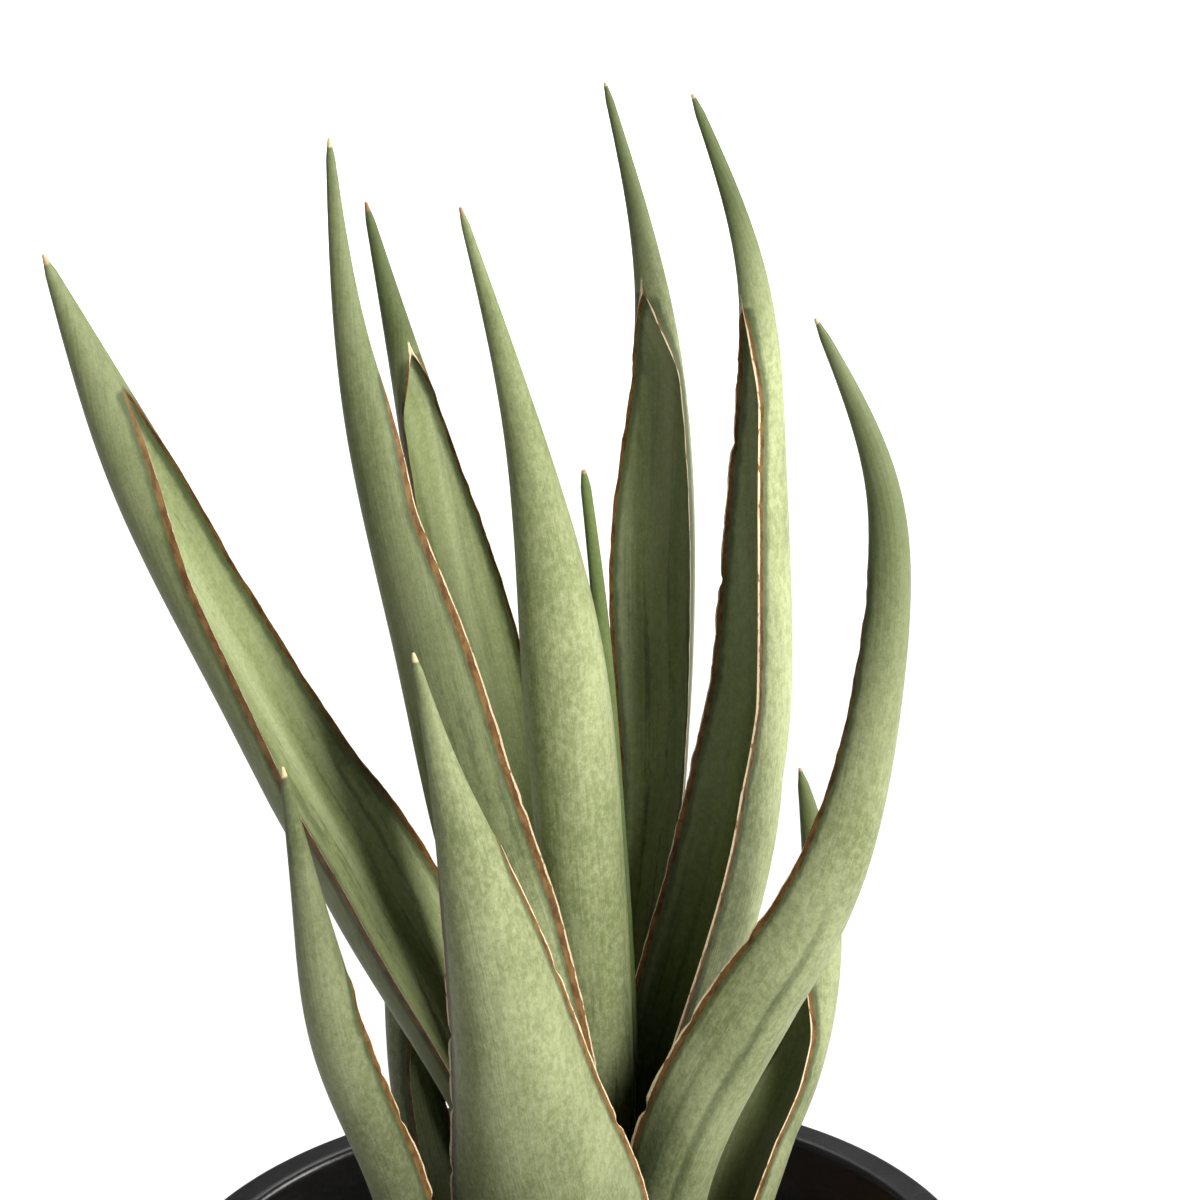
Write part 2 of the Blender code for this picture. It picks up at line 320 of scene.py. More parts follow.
def leaf_material(finish: LeafFinish) -> bpy.types.Material:
    """Leaf skin: waxy sage outside, green channel, rust and cream margins, dry tips, and painted shade along
    the creases, deep in the crown and where leaves shadow each other.

    Args:
        finish: The colours.

    Returns:
        The material that every leaf wears.
    """
    s = Shading("leaf_skin")
    place = s.place()
    flat = s.skin(Leaf.UV)
    edge, rust, cream = s.parts(Leaf.MARGIN)
    spike, dry, dry_shade = s.parts(Leaf.AGE)
    stain, tone_and_shade, young = s.parts(Leaf.TONE_AND_SHADE)
    crease, painted_crown_shade, ajar = s.parts(Leaf.RELIEF_AND_SHADE)

    # Patterns in the flesh and along the flattened skin.
    cloud = s.grain(place, (16, 16, 30), 2.0)
    mottle = s.grain(place, (1.1, 1.1, 1.7), 5.0, 0.72)
    speckle = s.grain(place, (0.42, 0.42, 0.55), 3.0, 0.7)
    lines = s.grain(flat, (0.55, 32, 1000), 2.0)
    stripes = s.grain(flat, (2.1, 55, 1000), 3.0, 0.6)
    bands = s.grain(flat, (5.5, 110, 1000), 1.0)
    jag = s.grain(flat, (1.6, 3.4, 1000), 4.0, 0.65)
    scuff = s.grain(flat, (0.9, 2.2, 1000), 5.0, 0.85)

    # The waxy outer face and the greener channel.
    outside = s.blend(s.step(cloud, 0.32, 0.70), finish.sage_dull, finish.sage)
    outside = s.blend(s.times(s.step(mottle, 0.40, 0.64), 0.32), outside, finish.sage_bright)
    outside = s.blend(s.times(s.step(mottle, 0.50, 0.36), 0.25), outside, finish.sage_dull)
    outside = s.blend(s.times(s.step(stripes, 0.52, 0.74), 0.22), outside, finish.sage_dull)
    outside = s.blend(s.times(s.step(scuff, 0.64, 0.70), 0.4), outside, finish.sage_bright)
    outside = s.blend(s.times(spike, s.plus(0.65, s.times(mottle, 0.6))), outside, finish.spike)

    inside = s.blend(s.step(bands, 0.25, 0.80), finish.channel, finish.channel_bright)
    inside = s.blend(s.times(s.step(stripes, 0.50, 0.76), 0.30), inside, finish.bottle)
    inside = s.blend(s.times(s.step(mottle, 0.40, 0.64), 0.20), inside, finish.channel_bright)
    colour = s.blend(s.times(s.step(edge, 0.15, -0.15), ajar), outside, inside)
    colour = s.blend(young, colour, finish.young)

    # Dark flecks, painted shade along the creases, fine speckle, the leaf's lightness with painted shadow
    # from other leaves, and painted shade deep in the crown.
    flecks = s.times(stain, s.step(s.plus(stripes, s.times(s.plus(jag, -0.5), 0.5)), 0.56, 0.66))
    colour = s.blend(s.times(flecks, 0.85), colour, finish.bottle)
    colour = s.blend(s.times(crease, 0.7), colour, finish.bottle)
    shine = s.plus(s.times(speckle, 0.60), s.plus(s.times(lines, 0.16), s.times(mottle, 0.40)))
    colour = s.shade(colour, s.times(tone_and_shade, s.plus(0.42, shine)))
    colour = s.shade(colour, s.sums("SUBTRACT", 1.0, s.times(painted_crown_shade, 0.64)))

    # Margins: a dark green band, a brown rim and a papery edge.
    near = s.plus(s.sums("ABSOLUTE", edge), s.times(s.plus(jag, -0.5), 1.5))
    wet = s.times(s.step(rust, 0.02, 0.15), s.step(near, 2.6, 1.5))
    colour = s.blend(s.times(wet, 0.7), colour, finish.bottle)
    rim = s.plus(s.sums("ABSOLUTE", edge), s.times(s.plus(jag, -0.5), 0.7))
    brown = s.blend(s.step(jag, 0.35, 0.65), finish.rust, finish.rust_pale)
    reach = s.plus(0.45, s.times(rust, 1.1))
    browned = s.times(s.step(rust, 0.02, 0.12), s.step(rim, reach, s.times(reach, 0.8)))
    colour = s.blend(browned, colour, brown)
    pale = s.times(cream, 0.55)
    paper = s.blend(s.step(jag, 0.56, 0.64), finish.cream, finish.rust_pale)
    paper = s.shade(paper, s.plus(0.66, s.times(speckle, 0.6)))
    papery = s.times(s.step(cream, 0.02, 0.12), s.step(rim, pale, s.times(pale, 0.7)))
    colour = s.blend(papery, colour, paper)

    # The dry point.
    husk = s.blend(dry_shade, finish.straw, finish.burnt)
    colour = s.blend(s.step(s.plus(dry, s.times(s.plus(jag, -0.5), 0.5)), 0.35, 0.6), colour, husk)

    height = s.plus(s.times(lines, 0.45), s.plus(s.times(mottle, 0.35), s.times(speckle, 0.2)))
    rough = s.plus(finish.roughness - 0.1, s.times(mottle, 0.2))
    s.surface(colour, rough, finish.gloss)
    s.bump(height, 0.00022)
    return s.material


def pot_material(finish: PotFinish) -> bpy.types.Material:
    """Black plastic: moulded grain, dull scuffs and a dusting.

    Args:
        finish: The colours.

    Returns:
        The pot's material.
    """
    s = Shading("pot_plastic")
    place = s.place()
    peel = s.grain(place, (1.1, 1.1, 1.1), 2.0)
    cloud = s.grain(place, (22, 22, 14), 3.0)
    scuff = s.grain(place, (7.5, 7.5, 0.35), 3.0, 0.6)
    dust = s.grain(place, (0.6, 0.6, 0.6), 4.0, 0.7)
    colour = s.blend(s.times(s.step(cloud, 0.42, 0.68), 0.7), finish.body, finish.worn)
    colour = s.blend(s.times(s.step(scuff, 0.62, 0.72), 0.35), colour, finish.worn)
    colour = s.blend(s.times(s.step(dust, 0.66, 0.76), 0.30), colour, finish.dust)
    worn_dull = s.plus(s.times(cloud, 0.14), s.times(s.step(scuff, 0.58, 0.72), 0.16))
    s.surface(colour, s.plus(finish.roughness - 0.06, worn_dull), finish.gloss)
    s.bump(s.plus(s.times(peel, 0.7), s.times(scuff, 0.3)), 0.00006)
    return s.material


def peat_material(finish: MixFinish) -> bpy.types.Material:
    """Fine damp peat between the chips.

    Args:
        finish: The colours.

    Returns:
        The material of the mix's body.
    """
    s = Shading("potting_mix_peat")
    place = s.place()
    crumbs = s.grain(place, (1.6, 1.6, 1.6), 5.0, 0.65)
    fibres = s.grain(place, (0.4, 2.2, 0.9), 3.0)
    colour = s.blend(s.step(crumbs, 0.38, 0.66), finish.peat, finish.crumb)
    colour = s.blend(s.times(s.step(fibres, 0.62, 0.72), 0.5), colour, finish.bark_pale)
    s.surface(colour, finish.roughness, 0.25)
    s.bump(crumbs, 0.0011)
    return s.material


def bark_material(finish: MixFinish) -> bpy.types.Material:
    """Layered bark chips, each its own brown.

    Args:
        finish: The colours.

    Returns:
        The material of the chips.
    """
    s = Shading("potting_mix_bark")
    place = s.place()
    shade_of, _, _ = s.parts(PottingMix.CHIP)
    layers = s.grain(place, (2, 1.4, 0.4), 3.0, 0.6)
    specks = s.grain(place, (0.5, 0.5, 0.5), 3.0)
    colour = s.blend(s.step(shade_of, 0.55, 1.0), finish.bark, finish.bark_pale)
    colour = s.blend(s.times(s.step(layers, 0.48, 0.66), 0.6), colour, finish.crumb)
    colour = s.shade(colour, s.plus(0.55, s.plus(s.times(shade_of, 0.45), s.times(specks, 0.4))))
    s.surface(colour, finish.roughness - 0.08, 0.3)
    s.bump(layers, 0.0004)
    return s.material


def rhizome_material(finish: RhizomeFinish) -> bpy.types.Material:
    """Pale skin with ringed scars.

    Args:
        finish: The colours.

    Returns:
        The rhizome's material.
    """
    s = Shading("rhizome_skin")
    place = s.place()
    rings = s.grain(place, (3, 20, 12), 2.0)
    specks = s.grain(place, (1, 1, 1), 4.0)
    colour = s.blend(s.step(rings, 0.50, 0.62), finish.skin, finish.scar)
    colour = s.shade(colour, s.plus(0.7, s.times(specks, 0.6)))
    s.surface(colour, finish.roughness, 0.35)
    s.bump(s.plus(s.times(rings, 0.6), s.times(specks, 0.4)), 0.0005)
    return s.material


# --------------------------------------------------------------------------------------------------
# Shared modelling
# --------------------------------------------------------------------------------------------------


def along(values: Sequence[float], share: float) -> float:
    """Natural cubic spline through evenly spaced values.

    Args:
        values: The values, from start to end.
        share: Where to read, from 0 to 1.

    Returns:
        The value there.
    """
    spans = len(values) - 1
    bends = np.zeros(spans + 1)
    if spans > 1:
        matrix = np.eye(spans + 1)
        right = np.zeros(spans + 1)
        for k in range(1, spans):
            matrix[k, k - 1:k + 2] = (1, 4, 1)
            right[k] = 6 * (values[k - 1] - 2 * values[k] + values[k + 1])
        bends = np.linalg.solve(matrix, right)
    place = min(max(share, 0.0), 1.0) * spans
    k = min(int(place), spans - 1)
    b = place - k
    a = 1 - b
    curve = (a ** 3 - a) * bends[k] + (b ** 3 - b) * bends[k + 1]
    return a * values[k] + b * values[k + 1] + curve / 6


def between(values: Sequence[float], share: float) -> float:
    """Straight-line reading of evenly spaced values.

    Args:
        values: The values, from start to end.
        share: Where to read, from 0 to 1.

    Returns:
        The value there.
    """
    return float(np.interp(share, np.linspace(0, 1, len(values)), values))


def wander(seed: float, place: float) -> float:
    """Smooth noise from -1 to 1 along a line.

    Args:
        seed: Which line.
        place: Distance along it, one unit to a feature.

    Returns:
        The noise there.
    """
    return noise.noise(Vector((place, seed * 7.31, seed * 1.7)))


def make_object(bm: bmesh.types.BMesh, name: str, made_of: bpy.types.Material,
                sharp: float) -> bpy.types.Object:
    """Turn a bmesh into a smooth-shaded object in the scene.

    Args:
        bm: The mesh, freed here.
        name: Name of the object.
        made_of: Its material.
        sharp: Edges above this angle stay sharp, in degrees.

    Returns:
        The new object, at the origin.
    """
    mesh = bpy.data.meshes.new(name)
    bm.to_mesh(mesh)
    bm.free()
    mesh.shade_smooth()
    mesh.set_sharp_from_angle(angle=math.radians(sharp))
    mesh.materials.append(made_of)
    thing = bpy.data.objects.new(name, mesh)
    bpy.context.scene.collection.objects.link(thing)
    return thing


def report(thing: bpy.types.Object) -> None:
    """Say how large a finished piece is."""
    LOG.info("%s: %d faces", thing.name, len(thing.data.polygons))


def turned(bm: bmesh.types.BMesh, profile: Sequence[tuple[float, float]], steps: int) -> None:
    """Spin a profile round the Z axis and merge its seam and poles.

    Args:
        bm: The mesh to add to.
        profile: Radius and height of each point, in metres.
        steps: Segments of the full turn.
    """
    verts = [bm.verts.new((radius, 0, z)) for radius, z in profile]
    edges = [bm.edges.new(pair) for pair in zip(verts, verts[1:])]
    bmesh.ops.spin(bm, geom=verts + edges, cent=(0, 0, 0), axis=(0, 0, 1), dvec=(0, 0, 0),
                   angle=math.tau, steps=steps, use_merge=True)
    bmesh.ops.remove_doubles(bm, verts=bm.verts, dist=0.01 * MM)


# --------------------------------------------------------------------------------------------------
# Leaves
# --------------------------------------------------------------------------------------------------


@dataclass(frozen=True)
class Margin:
    """Dead edge along one side of a leaf.

    rust and cream are how much of each there is, from 0 to 1, at even steps from foot to tip. ragged
    is how far the edge wanders in mm, and each tear is a share of the length and a depth in mm.
    """

    rust: tuple[float, ...] = (0.4, 0.4, 0.4, 0.3, 0.0)
    cream: tuple[float, ...] = (0.3, 0.3, 0.2, 0.1, 0.0)
    ragged: float = 0.22
    tears: tuple[tuple[float, float], ...] = ()


@dataclass(frozen=True)
class Crease:
    """A groove along the outer face, between two shares of the length, its colour darkened with painted
    shade.

    The offsets place both ends from the middle of the face. They, depth and width are in mm.
    """

    start: float
    end: float
    offset_start: float
    offset_end: float
    depth: float = 0.35
    width: float = 0.8


@dataclass(frozen=True)
class Tip:
    """The dry point of a leaf: its length in mm and its shade, from cream 0 to burnt 1."""

    length: float = 1.2
    shade: float = 0.6


@dataclass
class Leaf:
    """One channelled leaf, from its foot on the rhizome to its tip.

    tip is the height of its point, in mm. x and y place the middle of the leaf and half is half its
    width, at even steps from foot to tip, in mm. face is the compass direction of the outer face in
    degrees. channel is where the channel ends and how long its pointed end is, as shares of the
    length, wide is how wide it is there, as a share of the leaf, and lean is the same pair for the
    slow widening below that. deep is the section's depth over its half width, and splay is how far
    the edges turn outwards, in degrees.

    plus and minus are the margins and point is the dry tip. Each crease is a groove whose colour is darkened
    with painted shade. stain is how flecked with dark green the leaf is, and tone how light it is as a
    whole, partly the leaf's own lightness and partly painted shadow where other leaves shade it. green is
    where the darker tip starts, where it is full, and how dark it is. base is how strongly painted crown
    shade darkens the outer face near the foot, fleck how papery the channel's end is, and young how fresh a
    green the leaf has. seed starts its noise.
    """

    name: str
    tip: float
    x: tuple[float, ...]
    y: tuple[float, ...]
    half: tuple[float, ...]
    face: tuple[float, ...]
    channel: tuple[float, float]
    lean: tuple[float, float]
    wide: float
    deep: tuple[float, ...]
    splay: float = 0.0
    plus: Margin = field(default_factory=Margin)
    minus: Margin = field(default_factory=Margin)
    point: Tip = field(default_factory=Tip)
    creases: tuple[Crease, ...] = ()
    stain: tuple[float, ...] = (0.5, 0.2, 0.0, 0.0)
    green: tuple[float, float, float] = (2.0, 3.0, 0.0)
    base: float = 0.75
    fleck: float = 0.0
    tone_and_shade: float = 1.0
    young: float = 0.0
    seed: int = 0

    UV = "leaf"
    MARGIN = "margin"
    AGE = "age"
    TONE_AND_SHADE = "tone_and_shade"
    RELIEF_AND_SHADE = "relief_and_shade"
    FOOT = 104 * MM
    ROWS = 320
    CAP_ROWS = 6
    CAP_RISE = 0.98
    OUTER = 46
    INNER = 28
    INNER_SHIFT = 0.31
    WALL_BASE = 1.0 * MM
    WALL_SHARE = 0.38
    CLOSED = 0.04
    THINNEST = 0.22
    BLUNT = 0.25
    POINTED = 4.5
    TAPER_POWER = 0.6
    ARCH_POWER = 0.75
    FRINGE = 0.45 * MM
    FRINGE_REACH = 1.4 * MM
    FRINGE_OUT = 0.85
    FRINGE_BACK = 0.5
    LONG_WAVE = 4.2
    SHORT_WAVE = 1.6
    TEAR_LENGTH = 1.1
    FLECK_LENGTH = 1.4
    # Painted crown shade: the leaves darken below CROWN + CROWN_DEPTH, fullest at CROWN.
    CROWN = 128 * MM
    CROWN_DEPTH = 95 * MM
    CROWN_SHADE_POWER = 1.5

    def spine(self, share: float) -> Vector:
        """Middle of the leaf at a share of its height."""
        z = self.FOOT + (self.tip * MM - self.FOOT) * share
        return Vector((along(self.x, share) * MM, along(self.y, share) * MM, z))

    def axes(self, share: float) -> tuple[Vector, Vector, Vector]:
        """Directions of the leaf at a share of its height.

        Args:
            share: From 0 at the foot to 1 at the tip.

        Returns:
            The way up the leaf, out of its outer face, and across it to the plus edge.
        """
        step = 0.001
        upward = (self.spine(min(share + step, 1)) - self.spine(max(share - step, 0))).normalized()
        heading = math.radians(along(self.face, share))
        outward = Vector((math.cos(heading), math.sin(heading), 0))
        outward = (outward - outward.dot(upward) * upward).normalized()
        return upward, outward, upward.cross(outward)

    def arch(self, end: tuple[float, float], share: float) -> float:
        """How far a pointed arch is open at a share of the height.

        Args:
            end: Where the arch ends and how long it is.
            share: From 0 at the foot to 1 at the tip.

        Returns:
            From 0, closed, to 1, fully open.
        """
        free = min(max((end[0] - share) / end[1], 0.0), 1.0)
        return math.sin(free * math.pi / 2) ** self.ARCH_POWER

    def opening(self, share: float) -> float:
        """How far the channel is open, from 0 to 1."""
        return self.arch(self.channel, share) * (self.wide + (1 - self.wide) * self.arch(self.lean, share))

    def section(self, share: float, shrink: float) -> tuple[np.ndarray, np.ndarray]:
        """Outline of the leaf across and out, outer face first.

        Args:
            share: From 0 at the foot to 1 at the tip.
            shrink: What the section is scaled by, below 1 only in the rounded tip.

        Returns:
            Points of the closed outline in metres, and for each its distance from the nearest
            edge in metres, below zero on the inner face.
        """
        left = (1 - share) * (self.tip * MM - self.FOOT) / MM
        taper = min(1.0, self.BLUNT + left / self.POINTED) ** self.TAPER_POWER
        half = max(along(self.half, share) * taper, self.THINNEST) * MM
        depth = half * along(self.deep, share)
        opening = self.opening(share)
        mouth = half * max(opening, self.CLOSED)
        turned_in = math.acos(mouth / half)
        wrap = turned_in - math.radians(self.splay) * opening ** 4
        lip = -depth * math.sin(max(wrap, 0.0))
        thickness = self.WALL_BASE + self.WALL_SHARE * half
        hollow = max(depth - lip - thickness, 0.0) * opening
        slow = max(self.arch(self.lean, share), self.CLOSED)
        middle = depth * (1 - math.sqrt(1 - slow ** 2)) / 2
        flare = max(-wrap, 0.0)
        rise = math.sin(flare)

        ease = (1 - np.cos(np.pi * np.arange(self.OUTER + 1) / self.OUTER)) / 2
        turn = -wrap + (math.pi + 2 * wrap) * ease
        curve = depth * (np.sin(turn) - rise) / (1 - rise)
        outer = np.stack([half * np.cos(turn) / math.cos(flare), curve], 1)
        ease = (1 - np.cos(np.pi * np.arange(self.INNER + 1) / self.INNER)) / 2
        turn = math.pi - flare - (math.pi - 2 * flare) * ease
        curve = lip + hollow * (np.sin(turn) - rise) / (1 - rise)
        inner = np.stack([outer[0][0] * np.cos(turn) / math.cos(flare), curve], 1)
        inner[0], inner[-1] = outer[-1], outer[0]

        out_run = np.concatenate([[0], np.cumsum(np.linalg.norm(np.diff(outer, axis=0), axis=1))])
        in_run = np.concatenate([[0], np.cumsum(np.linalg.norm(np.diff(inner, axis=0), axis=1))])
        out_edge = np.minimum(out_run, out_run[-1] - out_run)
        in_edge = np.minimum(in_run, in_run[-1] - in_run)
        outline = np.concatenate([outer, inner[1:]])
        edge = np.concatenate([out_edge, -in_edge[1:]])

        self.groove(outline, out_run - out_run[-1] / 2, share)
        self.fray(outline, edge, share, opening)
        outline[:, 1] -= middle
        return outline * shrink, edge

    def groove(self, outline: np.ndarray, run: np.ndarray, share: float) -> None:
        """Press the creases into the outer face.

        Args:
            outline: The section's points, changed in place.
            run: Distance of each outer point from the middle of the outer face, in metres.
            share: From 0 at the foot to 1 at the tip.
        """
        centre = outline[: len(run)]
        for crease in self.creases:
            depth = self.crease_depth(crease, run, share)
            size = np.maximum(np.linalg.norm(centre, axis=1, keepdims=True), 1e-6)
            centre -= centre / size * depth[:, None] * crease.depth * MM

    def crease_depth(self, crease: Crease, run: np.ndarray, share: float) -> np.ndarray:
        """How deep a crease is at points of the outer face, from 0 to 1.

        Args:
            crease: The crease.
            run: Distance of each point from the middle of the face, in metres.
            share: From 0 at the foot to 1 at the tip.

        Returns:
            The depth at each point.
        """
        span = (share - crease.start) / (crease.end - crease.start)
        if not 0 < span < 1:
            return np.zeros(len(run))
        offset = crease.offset_start + (crease.offset_end - crease.offset_start) * span
        offset += 0.25 * wander(self.seed + 3, share * 22)
        fade = min(1.0, 5 * span, 5 * (1 - span))
        return fade * np.exp(-((run / MM - offset) / crease.width) ** 2)

    def fray(self, outline: np.ndarray, edge: np.ndarray, share: float, opening: float) -> None:
        """Draw the edges out into a thin, uneven papery fringe.

        Args:
            outline: The section's points, changed in place.
            edge: Distance of each point from the nearest edge, in metres.
            share: From 0 at the foot to 1 at the tip.
            opening: How far the channel is open, from 0 to 1.
        """
        length = (self.tip * MM - self.FOOT) / MM
        near = np.clip(1 - np.abs(edge) / self.FRINGE_REACH, 0, 1) ** 2
        for side, margin in ((Edge.PLUS, self.plus), (Edge.MINUS, self.minus)):
            run = share * length
            seed = self.seed * 2 + side.value
            ragged = margin.ragged * (wander(seed, run / self.LONG_WAVE)
                                      + 0.5 * wander(seed + 40, run / self.SHORT_WAVE))
            reach = self.FRINGE * between(margin.cream, share) + ragged * MM
            for at, cut in margin.tears:
                reach -= cut * MM * math.exp(-(((share - at) * length) / self.TEAR_LENGTH) ** 2)
            mine = near * (outline[:, 0] * side.value > 0) * min(1.0, 2.5 * opening)
            outline[:, 0] += mine * reach * self.FRINGE_OUT * side.value
            outline[:, 1] -= mine * reach * self.FRINGE_BACK

    def marks(self, edge: np.ndarray, across: np.ndarray, share: float,
              place: Vector) -> list[list[Vector]]:
        """What the material reads at each point of a section.

        Args:
            edge: Distance of each point from the nearest edge, in metres.
            across: Place of each point across the leaf, in metres.
            share: From 0 at the foot to 1 at the tip.
            place: Middle of the section.

        Returns:
            For each point its margin, age, tone and relief vectors; the tone and relief vectors also carry
            painted shade.
        """
        length = self.tip * MM - self.FOOT
        left = (1 - share) * length / MM
        dry = min(max(1.3 - left / max(self.point.length, 0.01), 0.0), 1.0)
        start, end, amount = self.green
        spike = amount * min(max((share - start) / (end - start), 0.0), 1.0)
        stain = max(between(self.stain, share), 0.0)
        deep = min(max((self.CROWN + self.CROWN_DEPTH - place.z) / self.CROWN_DEPTH, 0.0), 1.0)
        age = Vector((spike, dry, self.point.shade))
        tone_and_shade = Vector((stain, self.tone_and_shade, self.young))
        run = np.zeros(len(edge))
        outer = self.OUTER + 1
        lengths = np.abs(edge[:outer])
        run[:outer] = np.where(across[:outer] > 0, lengths - lengths.max(), lengths.max() - lengths)
        open_there = min(1.0, 3 * self.opening(share))
        past_end = (share - self.channel[0]) * length / MM
        paper = self.fleck * math.exp(-(past_end / self.FLECK_LENGTH) ** 2)
        # Crease depth also darkens the colour, as painted shade along the groove.
        cut = np.zeros(len(edge))
        for crease in self.creases:
            cut[:outer] = np.maximum(cut[:outer], self.crease_depth(crease, run[:outer], share))
        found = []
        for gap, side, depth in zip(edge, across, cut):
            margin = self.plus if side > 0 else self.minus
            rust = between(margin.rust, share) * open_there
            cream = between(margin.cream, share) * open_there + paper
            # Painted crown shade, deeper in the crown; base scales it on the outer face.
            painted_crown_shade = min(deep ** self.CROWN_SHADE_POWER * (1.0 if gap < 0 else self.base), 1.0)
            relief_and_shade = Vector((float(depth), painted_crown_shade, open_there))
            found.append([Vector((gap / MM, rust, cream)), age, tone_and_shade, relief_and_shade])
        return found

    def build(self) -> bmesh.types.BMesh:
        """Bend one grid round into the leaf's skin and close both of its ends.

        Returns:
            The closed mesh, with its UV map and the vectors that its material reads.
        """
        cols = self.OUTER + self.INNER
        bm = bmesh.new()
        flat = bm.loops.layers.uv.new(self.UV)
        layers = [bm.verts.layers.float_vector.new(name)
                  for name in (self.MARGIN, self.AGE, self.TONE_AND_SHADE, self.RELIEF_AND_SHADE)]
        bmesh.ops.create_grid(bm, x_segments=cols, y_segments=self.ROWS, size=0.5)
        grid: dict[int, tuple[int, int]] = {}
        rows: list[list[bmesh.types.BMVert | None]] = [[None] * (cols + 1) for _ in range(self.ROWS + 1)]
        for vert in bm.verts:
            col = round((vert.co.x + 0.5) * cols)
            row = round((vert.co.y + 0.5) * self.ROWS)
            rows[row][col] = vert
            grid[vert.index] = (row, col)

        length = self.tip * MM - self.FOOT
        round_off = max(along(self.half, 1.0) * self.BLUNT ** self.TAPER_POWER, self.THINNEST) * MM
        top = 1 - round_off / length
        body = self.ROWS - self.CAP_ROWS
        runs = np.zeros((self.ROWS + 1, cols + 1))
        heights = np.zeros(self.ROWS + 1)
        for row, verts in enumerate(rows):
            share = top * min(row / body, 1.0)
            turn = max(row - body, 0) / self.CAP_ROWS * math.pi / 2
            upward, outward, across = self.axes(share)
            outline, edge = self.section(share, math.cos(turn))
            place = self.spine(share) + upward * (math.sin(turn) * round_off * self.CAP_RISE)
            found = self.marks(edge, outline[:, 0], share, place)
            for vert, (s, n), vectors in zip(verts, outline, found):
                vert.co = place + across * s + outward * n
                if row == 0:
                    vert.co.z = self.FOOT
                for layer, vector in zip(layers, vectors):
                    vert[layer] = vector
            steps = np.linalg.norm(np.diff(outline, axis=0), axis=1)
            run = np.concatenate([[0], np.cumsum(steps)])
            runs[row] = run - run[self.OUTER] / 2
            heights[row] = share * length + self.seed
        for face in bm.faces:
            places = [grid[loop.vert.index] for loop in face.loops]
            inside = min(col for _, col in places) >= self.OUTER
            for loop, (row, col) in zip(face.loops, places):
                shift = self.INNER_SHIFT - runs[row][self.OUTER] * 2 if inside else 0.0
                loop[flat].uv = (runs[row][col] + shift, heights[row])
        bmesh.ops.remove_doubles(bm, verts=bm.verts, dist=TINY)
        bmesh.ops.holes_fill(bm, edges=[edge for edge in bm.edges if edge.is_boundary], sides=0)
        bmesh.ops.recalc_face_normals(bm, faces=bm.faces)
        return bm

    def dress(self, made_of: bpy.types.Material) -> bpy.types.Object:
        """Make the leaf's skin and put it in the place of its solid.

        Args:
            made_of: The leaf material.

        Returns:
            The finished skin.
        """
        skin = make_object(self.build(), self.name + "_skin", made_of, 75)
        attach(skin, ROOT)
        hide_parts(self.name)
        report(skin)
        return skin

    def outline_at(self, z: float) -> np.ndarray:
        """Outline of the leaf in plan near a height.

        Args:
            z: The height, in metres.

        Returns:
            Points of the outline, x and y in metres.
        """
        share = (z - self.FOOT) / (self.tip * MM - self.FOOT)
        _, outward, across = self.axes(share)
        outline, _ = self.section(share, 1.0)
        place = self.spine(share)
        return np.array([(place + across * s + outward * n)[:2] for s, n in outline])


